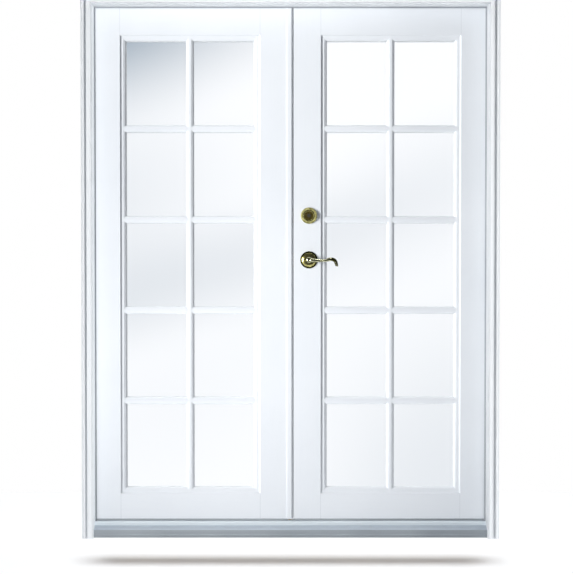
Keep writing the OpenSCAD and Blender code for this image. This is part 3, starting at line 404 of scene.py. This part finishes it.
def facing(point, direction, turn=0.0):
    """Place at a point, its Z along a direction, turned about it."""
    aim = Vector(direction).to_track_quat("Z", "Y").to_matrix().to_4x4()
    return Matrix.Translation(point) @ aim @ Matrix.Rotation(turn, 4, "Z")


def hinge_screw_places(x, outward):
    """The screws of three plates whose visible face lies at x and looks along X."""
    return [
        facing((x, y, z + rise), (outward, 0, 0), turn=HINGE_SCREW_TURN * index)
        for z in HINGE_HEIGHTS
        for index, (y, rise) in enumerate(HINGE_SCREWS)
    ]


rebate_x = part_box("frame_weatherstrip")[1].x
leaf_edge_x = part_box("active_hinge_stile")[1].x
for side, sign, leaf in (("left", -1, "passive"), ("right", 1, "active")):
    screws(f"{side}_jamb_hinge_screws", HINGE_SCREW_R, hinge_screw_places(sign * rebate_x, -sign),
           satin_brass, "frame")
    screws(f"{leaf}_hinge_screws", HINGE_SCREW_R, hinge_screw_places(sign * leaf_edge_x, sign),
           satin_brass, f"{leaf}_leaf")


# Bolts and strikes
# Latch and deadbolt in the lock stile, with brass faceplates let into its bevelled edge and strikes in
# the meeting strip of the other leaf, and two flush bolts that slide in that strip.
LOCK_STEEL = (0.56, 0.57, 0.58, 1)
LOCK_STEEL_DULL = (0.42, 0.43, 0.45, 1)
PLATE_SCREW_R = 0.0034
PLATE_SCREW_INSET = 0.007
PLATE_SCREW_TURN = 0.4
PLATE_HALF_T = 0.0011
EDGE_BEVEL = math.radians(3)
dress(satin_brass, "latch_faceplate", "deadbolt_faceplate", "latch_strike", "deadbolt_strike",
      "latch_bolt", "deadbolt_bolt", "top_flush_bolt", "bottom_flush_bolt", "head_bolt_strike",
      "sill_bolt_socket")
dress(drawn_metal("lock steel", LOCK_STEEL, LOCK_STEEL_DULL, (30, 400, 400), (0.3, 0.45)),
      "latch_case", "deadbolt_case", "lever_spindle", "thumbturn_tailpiece")


def plate_screw_places(node, outward):
    """Two screws near the ends of a plate in the bevelled lock edge."""
    low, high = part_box(node)
    middle = (low + high) / 2
    face = Vector((outward * math.cos(EDGE_BEVEL), outward * math.sin(EDGE_BEVEL), 0))
    return [
        facing(Vector((middle.x, middle.y, z)) + face * PLATE_HALF_T, face, turn=PLATE_SCREW_TURN)
        for z in (low.z + PLATE_SCREW_INSET, high.z - PLATE_SCREW_INSET)
    ]


for lock in ("latch", "deadbolt"):
    screws(f"{lock}_faceplate_screws", PLATE_SCREW_R, plate_screw_places(f"{lock}_faceplate", -1),
           satin_brass, "active_leaf")
    screws(f"{lock}_strike_screws", PLATE_SCREW_R, plate_screw_places(f"{lock}_strike", 1),
           satin_brass, "passive_leaf")


# Lever and deadbolt trim
# Cast and turned brass, toned dark and rubbed bright by hands and cloth. The foot of each rose is painted
# darker, partly patina in the corner it makes with the door and partly painted reflection of the dim front,
# and the levers are darker towards their tips; their paler, greyer brass is a painted reflection of the
# white surroundings. A wave lever stands on each side, on the spindle through its round rose. The deadbolt
# has a tapered collar round its key cylinder outside, and a thumbturn in the room.
RUBBED_BRASS = (0.66, 0.60, 0.24, 1)
TONED_BRASS = (0.115, 0.105, 0.024, 1)
# Paler, greyer brass for the levers: a painted reflection of the white surroundings on their arms
LEVER_SHEEN_BRASS = (0.62, 0.61, 0.40, 1)
DARK_TONE = (0.060, 0.056, 0.010, 1)
CYLINDER_BRASS = (0.54, 0.43, 0.13, 1)
CYLINDER_DARK = (0.22, 0.17, 0.04, 1)
PLUG_WORN = (0.42, 0.38, 0.28, 1)
PLUG_DULL = (0.26, 0.22, 0.15, 1)
BRASS_ROUGHNESS = (0.16, 0.34)
# The foot of each rose is darker: patina in its corner and a painted reflection of the dim front. The
# levers are darker towards their tips.
ROSE_FOOT, ROSE_FOOT_TONE = (0.002, 0.010), (0.45, -0.08)
LEVER_TIP, LEVER_TIP_TONE = (0.066, 0.090), (-0.02, 0.11)


def toned_blotches():
    """Group: blotches of dark tone left between rubbed places, with more tone added, and fine scratches."""
    tree, given, made = new_group(
        "Toned blotches",
        [("Vector", "NodeSocketVector"), ("Added", "NodeSocketFloat")],
        [("Tone", "NodeSocketFloat"), ("Dullness", "NodeSocketFloat"), ("Height", "NodeSocketFloat")],
    )
    blotch = add(tree, "ShaderNodeTexNoise", inputs={
        "Vector": given.outputs["Vector"], "Scale": 95, "Detail": 4, "Roughness": 0.62})
    wear_and_shade = add(tree, "ShaderNodeMath", inputs={0: blotch.outputs["Fac"], 1: given.outputs["Added"]})
    tone = add(tree, "ShaderNodeMapRange", interpolation_type="SMOOTHSTEP", inputs={
        "Value": wear_and_shade.outputs[0], "From Min": 0.38, "From Max": 0.70})
    dullness = add(tree, "ShaderNodeMapRange", inputs={
        "Value": blotch.outputs["Fac"], "From Min": 0.3, "From Max": 0.75})
    scratch = add(tree, "ShaderNodeTexNoise", inputs={
        "Vector": given.outputs["Vector"], "Scale": 900, "Detail": 2})
    tree.links.new(tone.outputs[0], made.inputs["Tone"])
    tree.links.new(dullness.outputs[0], made.inputs["Dullness"])
    tree.links.new(scratch.outputs["Fac"], made.inputs["Height"])
    return tree


TONED_BLOTCHES = toned_blotches()


def toned_brass(name, rubbed, toned, roughness, darker_band=None):
    """Antique brass. The optional band darkens it by distance along an axis: the axis, its middle, two
    distances from it, and the tone added at each. At a rose's foot it stands for patina and painted
    reflection, and on a lever it darkens it towards the tip."""
    material, tree, shader = new_material(name, Metallic=1.0)
    place = add(tree, "ShaderNodeTexCoord")
    wear_and_shade = add(tree, "ShaderNodeGroup", node_tree=TONED_BLOTCHES, inputs={
        "Vector": place.outputs["Object"], "Added": 0})
    if darker_band:
        axis, middle, (near, far), (near_tone, far_tone) = darker_band
        offset = add(tree, "ShaderNodeMath", operation="SUBTRACT", inputs={0: along(tree, axis), 1: middle})
        reach = add(tree, "ShaderNodeMath", operation="ABSOLUTE", inputs={0: offset.outputs[0]})
        added = add(tree, "ShaderNodeMapRange", interpolation_type="SMOOTHSTEP", inputs={
            "Value": reach.outputs[0], "From Min": near, "From Max": far,
            "To Min": near_tone, "To Max": far_tone})
        tree.links.new(added.outputs[0], wear_and_shade.inputs["Added"])
    colour = add(tree, "ShaderNodeMix", data_type="RGBA", inputs={
        "Factor": wear_and_shade.outputs["Tone"], "A": rubbed, "B": toned})
    rough = add(tree, "ShaderNodeMapRange", inputs={
        "Value": wear_and_shade.outputs["Dullness"], "To Min": roughness[0], "To Max": roughness[1]})
    bump = add(tree, "ShaderNodeBump", inputs={
        "Height": wear_and_shade.outputs["Height"], "Strength": 0.06, "Distance": 0.0002})
    feed(tree, shader, colour.outputs["Result"], rough.outputs[0], bump.outputs["Normal"])
    return material


leaf_low, leaf_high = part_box("active_lock_stile")
leaf_middle_y, leaf_half_d = (leaf_low.y + leaf_high.y) / 2, (leaf_high.y - leaf_low.y) / 2
rose_low, rose_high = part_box("outer_rose")
antique_brass = toned_brass("antique brass", RUBBED_BRASS, TONED_BRASS, BRASS_ROUGHNESS)
rose_brass = toned_brass("rose brass", RUBBED_BRASS, DARK_TONE, BRASS_ROUGHNESS, (
    "Y", leaf_middle_y, [leaf_half_d + out for out in ROSE_FOOT], ROSE_FOOT_TONE))
lever_brass = toned_brass("lever brass", LEVER_SHEEN_BRASS, DARK_TONE, BRASS_ROUGHNESS, (
    "X", (rose_low.x + rose_high.x) / 2, LEVER_TIP, LEVER_TIP_TONE))
dark_brass = toned_brass("dark cylinder brass", CYLINDER_BRASS, CYLINDER_DARK, (0.25, 0.45))
plug_brass = toned_brass("worn key plug", PLUG_WORN, PLUG_DULL, (0.3, 0.5))
dress(rose_brass, "outer_rose", "inner_rose")
dress(antique_brass, "deadbolt_collar", "thumbturn_rose", "thumbturn")
dress(lever_brass, "outer_lever", "inner_lever")
dress(dark_brass, "lock_cylinder")
dress(plug_brass, "key_plug")

# Wave of the lever's arm: share of its length, rise, stand-out, half height and half depth, in mm
LEVER_WAVE = (
    (0.00, 0.0, 0.0, 9.0, 8.0),
    (0.20, -2.0, 1.0, 6.5, 6.5),
    (0.40, -3.0, 2.0, 4.8, 5.5),
    (0.60, -2.5, 2.0, 4.6, 5.0),
    (0.72, 1.5, 2.0, 6.6, 5.0),
    (0.83, 3.5, 1.0, 7.4, 4.6),
    (0.93, -1.0, 0.0, 6.2, 4.2),
    (0.98, -10.0, -1.0, 4.6, 3.6),
    (1.00, -20.0, -2.0, 3.6, 3.2),
    (1.01, -26.0, -3.0, 2.6, 2.6),
)
LEVER_LENGTH, LEVER_STAND = 108, 48
# Half section of the lever's hub, from the rose to its crown: radius and stand-out, in mm
LEVER_HUB = (
    (0, 0.4), (8.6, 0.4), (9.0, 1.0), (9.0, 10), (9.0, 18), (9.6, 25), (11.0, 33), (11.5, 40),
    (11.5, 45.5), (9.8, 49.4), (6.0, 51.4), (0, 52),
)
MM_PER_M = 1000
HUB_STEPS, ARM_SIDES, SKIN_LEVELS = 24, 12, 2
# Rings this much larger than the arm, because the smoothing draws them in
RING_SWELL = 1.04


def wave_lever(node, rose, face_y, outward):
    """A cast lever: a turned hub and an arm drawn out of it ring by ring, smoothed as one skin each."""
    low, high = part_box(rose)
    axle = Vector(((low.x + high.x) / 2, face_y, (low.z + high.z) / 2))
    bm = bmesh.new()
    chain = [bm.verts.new(axle + Vector((r, outward * out, 0)) / MM_PER_M) for r, out in LEVER_HUB]
    edges = [bm.edges.new(pair) for pair in zip(chain, chain[1:])]
    bmesh.ops.spin(bm, geom=chain + edges, cent=axle, axis=(0, 1, 0), angle=2 * math.pi,
                   steps=HUB_STEPS, use_merge=True)
    bmesh.ops.remove_doubles(bm, verts=bm.verts[:], dist=1e-6)
    middles = [
        Vector((share * LEVER_LENGTH, outward * (LEVER_STAND + out), rise)) / MM_PER_M
        for share, rise, out, _, _ in LEVER_WAVE
    ]
    rings = []
    for index, (_, _, _, half_h, half_d) in enumerate(LEVER_WAVE):
        course = middles[min(index + 1, len(middles) - 1)] - middles[max(index - 1, 0)]
        course.y = 0
        course.normalize()
        ring = Matrix((
            (-course.z * half_h / MM_PER_M, 0, course.x),
            (0, half_d / MM_PER_M, 0),
            (course.x * half_h / MM_PER_M, 0, course.z),
        )).to_4x4()
        rings.append(Matrix.Translation(axle + middles[index]) @ ring)
    made = bmesh.ops.create_circle(bm, cap_ends=False, segments=ARM_SIDES, radius=RING_SWELL,
                                    matrix=rings[0])
    loop = list({e for v in made["verts"] for e in v.link_edges})
    bmesh.ops.holes_fill(bm, edges=loop, sides=0)
    for before, after in zip(rings, rings[1:]):
        drawn = bmesh.ops.extrude_edge_only(bm, edges=loop)
        verts = [v for v in drawn["geom"] if isinstance(v, bmesh.types.BMVert)]
        loop = [e for e in drawn["geom"] if isinstance(e, bmesh.types.BMEdge) and e.is_boundary]
        bmesh.ops.transform(bm, matrix=after @ before.inverted(), verts=verts)
    bmesh.ops.holes_fill(bm, edges=loop, sides=0)
    bmesh.ops.recalc_face_normals(bm, faces=bm.faces[:])
    piece = finish_piece(f"{node}_casting", bm, lever_brass, "lever_set")
    skin = piece.modifiers.new("skin", "SUBSURF")
    skin.levels = SKIN_LEVELS
    skin.render_levels = SKIN_LEVELS
    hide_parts(node)


wave_lever("outer_lever", "outer_rose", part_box("outer_rose")[1].y, -1)
wave_lever("inner_lever", "inner_rose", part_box("inner_rose")[0].y, 1)


# Studio
# A white floor a little below the sill, and white surroundings with a dim front for the metal to mirror.
# A strip of light stands on the left for the leaves, and two softer lamps light the frame. A wide lamp
# overhead serves all but the floor, one lights the room side, and one throws the shadow of the sill.
PHOTO_W, PHOTO_H = 573, 574
FOCAL_PX = 1421.0
CAMERA_AT = Vector((-0.0152, -5.486, 1.0943))
CAMERA_DIP = 0.0235
SENSOR_MM = 36
FLOOR_Z = -0.099
FLOOR_X, FLOOR_FRONT_Y, FLOOR_BACK_Y = 2.6, -1.5, 1.6

camera_data = bpy.data.cameras.new("camera")
camera_data.sensor_width = SENSOR_MM
camera_data.lens = FOCAL_PX / PHOTO_H * SENSOR_MM
camera = bpy.data.objects.new("camera", camera_data)
camera.location = CAMERA_AT
camera.rotation_euler = (math.pi / 2 - CAMERA_DIP, 0, 0)
bpy.context.scene.collection.objects.link(camera)
bpy.context.scene.camera = camera


def seen_ray(tree):
    """1 on rays that show the surroundings to the camera, directly or in metal and glass."""
    path = add(tree, "ShaderNodeLightPath")
    shown = add(tree, "ShaderNodeMath", operation="MAXIMUM", inputs={
        0: path.outputs["Is Camera Ray"], 1: path.outputs["Is Glossy Ray"]})
    either = add(tree, "ShaderNodeMath", operation="MAXIMUM", inputs={
        0: shown.outputs[0], 1: path.outputs["Is Transmission Ray"]})
    return path, either.outputs[0]


def floor_piece():
    """The floor, white where it is seen and dimmer as a source of bounced light."""
    floor_white = (0.88, 0.88, 0.88, 1)
    floor_bounce = (0.67, 0.68, 0.70, 1)
    material, tree, shader = new_material("studio floor", Roughness=0.9, Specular_IOR_Level=0.0)
    seen = seen_ray(tree)[1]
    colour = add(tree, "ShaderNodeMix", data_type="RGBA", inputs={
        "Factor": seen, "A": floor_bounce, "B": floor_white})
    tree.links.new(colour.outputs["Result"], shader.inputs["Base Color"])
    bm = bmesh.new()
    bmesh.ops.create_grid(bm, x_segments=1, y_segments=1, size=1)
    middle_y = (FLOOR_FRONT_Y + FLOOR_BACK_Y) / 2
    bmesh.ops.scale(bm, verts=bm.verts[:], vec=(FLOOR_X, FLOOR_BACK_Y - middle_y, 1))
    bmesh.ops.translate(bm, verts=bm.verts[:], vec=(0, middle_y, FLOOR_Z))
    mesh = bpy.data.meshes.new("studio_floor")
    bm.to_mesh(mesh)
    bm.free()
    mesh.materials.append(material)
    floor = bpy.data.objects.new("studio_floor", mesh)
    bpy.context.scene.collection.objects.link(floor)
    return floor


# Painted shade: the soft grey places in the sky behind the doorway stand for the frame's shadow on a
# backdrop behind the doors
# Soft grey places in the sky seen through the panes, in the photograph's pixels: middle, half size,
# tilt and depth
SKY_SHADE_SPOTS = (
    ((60, 8), (330, 150), -0.19, 1.15),
    ((142, 293), (330, 72), -0.34, 0.22),
    ((412, 202), (290, 95), -0.43, 0.18),
    ((166, 402), (330, 150), -0.50, 0.07),
    ((442, 504), (330, 200), -1.20, 0.27),
    ((60, 209), (260, 160), -0.20, 0.24),
)
SKY_WHITE = (1.05, 1.06, 1.085, 1)
SKY_GREY = (0.27, 0.355, 0.445, 1)
DOORWAY_PX = ((104, 476), (14, 512))
LIGHT_FILL = (0.18, 0.188, 0.20, 1)
FRONT_DIM = (0.05, 0.05, 0.055, 1)
FRONT_FADE = 0.45
LEAST_AHEAD = 0.01


def surroundings():
    """World: even fill for the surfaces, white for what is seen, a pale sky behind the doorway with painted
    shade in it.
    """
    world = bpy.data.worlds.new("studio")
    bpy.context.scene.world = world
    world.use_nodes = True
    tree = world.node_tree
    path, seen = seen_ray(tree)
    ray = add(tree, "ShaderNodeTexCoord").outputs["Generated"]
    split = add(tree, "ShaderNodeSeparateXYZ", inputs={0: ray})
    ahead = add(tree, "ShaderNodeMath", operation="MAXIMUM", inputs={0: split.outputs["Y"], 1: LEAST_AHEAD})

    def pixel(axis, half, sign):
        slope = add(tree, "ShaderNodeMath", operation="DIVIDE", inputs={
            0: split.outputs[axis], 1: ahead.outputs[0]})
        return add(tree, "ShaderNodeMath", operation="MULTIPLY_ADD", inputs={
            0: slope.outputs[0], 1: sign * FOCAL_PX, 2: half}).outputs[0]

    column = pixel("X", PHOTO_W / 2, 1)
    row = pixel("Z", PHOTO_H / 2 - FOCAL_PX * math.tan(CAMERA_DIP), -1)

    def within(value, low, high):
        above = add(tree, "ShaderNodeMath", operation="GREATER_THAN", inputs={0: value, 1: low})
        below = add(tree, "ShaderNodeMath", operation="LESS_THAN", inputs={0: value, 1: high})
        return add(tree, "ShaderNodeMath", operation="MULTIPLY", inputs={
            0: above.outputs[0], 1: below.outputs[0]}).outputs[0]

    doorway = add(tree, "ShaderNodeMath", operation="MULTIPLY", inputs={
        0: within(column, *DOORWAY_PX[0]), 1: within(row, *DOORWAY_PX[1])}).outputs[0]
    pixels = add(tree, "ShaderNodeCombineXYZ", inputs={0: column, 1: row}).outputs[0]
    grey = None
    for (x, y), (half_x, half_y), tilt, depth in SKY_SHADE_SPOTS:
        share = add(tree, "ShaderNodeMapping", vector_type="TEXTURE", inputs={
            "Vector": pixels, "Location": (x, y, 0), "Rotation": (0, 0, tilt),
            "Scale": (half_x, half_y, 1)})
        length = add(tree, "ShaderNodeVectorMath", operation="LENGTH", inputs={0: share.outputs[0]})
        spot = add(tree, "ShaderNodeMapRange", interpolation_type="SMOOTHSTEP", inputs={
            "Value": length.outputs["Value"], "To Min": depth, "To Max": 0}).outputs[0]
        grey = spot if grey is None else add(tree, "ShaderNodeMath", operation="ADD", inputs={
            0: grey, 1: spot}).outputs[0]
    sky = add(tree, "ShaderNodeMix", data_type="RGBA", inputs={
        "Factor": grey, "A": SKY_WHITE, "B": SKY_GREY})
    backdrop = add(tree, "ShaderNodeMix", data_type="RGBA", inputs={
        "Factor": doorway, "A": (1, 1, 1, 1), "B": sky.outputs["Result"]})
    front = add(tree, "ShaderNodeMapRange", interpolation_type="SMOOTHSTEP", inputs={
        "Value": split.outputs["Y"], "From Min": -FRONT_FADE, "From Max": FRONT_FADE,
        "To Min": 1, "To Max": 0})
    mirrored = add(tree, "ShaderNodeMath", operation="SUBTRACT", use_clamp=True, inputs={
        0: path.outputs["Is Glossy Ray"], 1: path.outputs["Is Transmission Ray"]})
    dim = add(tree, "ShaderNodeMath", operation="MULTIPLY", inputs={
        0: front.outputs[0], 1: mirrored.outputs[0]})
    shown = add(tree, "ShaderNodeMix", data_type="RGBA", inputs={
        "Factor": dim.outputs[0], "A": backdrop.outputs["Result"], "B": FRONT_DIM})
    colour = add(tree, "ShaderNodeMix", data_type="RGBA", inputs={
        "Factor": seen, "A": LIGHT_FILL, "B": shown.outputs["Result"]})
    tree.links.new(colour.outputs["Result"], tree.nodes["Background"].inputs["Color"])


def linked(name, pieces, state):
    """A light-linking collection that holds these pieces in one state."""
    group = bpy.data.collections.new(name)
    for piece in pieces:
        group.objects.link(piece)
    for entry in group.collection_objects:
        entry.light_linking.link_state = state
    return group


def lamp(name, kind, at, aim, reaches=(), skips=(), passes=(), **settings):
    """A lamp at a point, looking at another. It lights only what it reaches, or all but what it skips, and
    what it passes throws no shadow."""
    data = bpy.data.lights.new(name, kind)
    for key, value in settings.items():
        setattr(data, key, value)
    light = bpy.data.objects.new(name, data)
    light.location = at
    light.rotation_euler = (Vector(aim) - Vector(at)).to_track_quat("-Z", "Y").to_euler()
    light.visible_camera = False
    light.visible_transmission = False
    bpy.context.scene.collection.objects.link(light)
    if reaches:
        light.light_linking.receiver_collection = linked(f"{name} reaches", reaches, "INCLUDE")
    if skips:
        light.light_linking.receiver_collection = linked(f"{name} skips", skips, "EXCLUDE")
    if passes:
        light.light_linking.blocker_collection = linked(f"{name} passes", passes, "EXCLUDE")
    return light


floor = floor_piece()
surroundings()
surround = [
    nodes[f"{place}_{kind}"] for place in ("left", "right", "head") for kind in ("jamb", "casing")
]
sill_pieces = ("sill_base", "sill_cover", "threshold_cap")
above_sill = [piece for name, piece in nodes.items() if name not in sill_pieces]
lamp("leaf strip", "AREA", (-3.2, -2.06, 1.55), (0.07, 0, 1.55), energy=18.6,
     shape="RECTANGLE", size=0.4, size_y=3.1, spread=math.radians(34),
     skips=surround + [floor], passes=surround + [nodes["frame_weatherstrip"]])
lamp("frame strip", "AREA", (-2.2, -2.45, 1.65), (0.0, 0, 1.65), energy=12.2,
     shape="RECTANGLE", size=0.4, size_y=3.4, spread=math.radians(50), reaches=surround)
lamp("frame fill", "AREA", (3.2, -2.2, 1.4), (-0.3, 0, 1.05), energy=76,
     shape="RECTANGLE", size=1.2, size_y=2.4, reaches=surround)
lamp("overhead", "SUN", (0, 0, 5), (0, 0, 0), energy=2.35, angle=math.radians(18), skips=[floor])
room_side = lamp("room side", "AREA", (1.1, 3.4, 1.9), (0, 0.05, 1.05), energy=75,
                 shape="RECTANGLE", size=1.4, size_y=2.2, skips=[floor])
room_side.visible_glossy = False
lamp("floor light", "SUN", (0, 0, 6), (0, 0, 0), energy=2.90, angle=math.radians(84),
     reaches=[floor], passes=above_sill)
bpy.context.scene.view_settings.view_transform = "Standard"
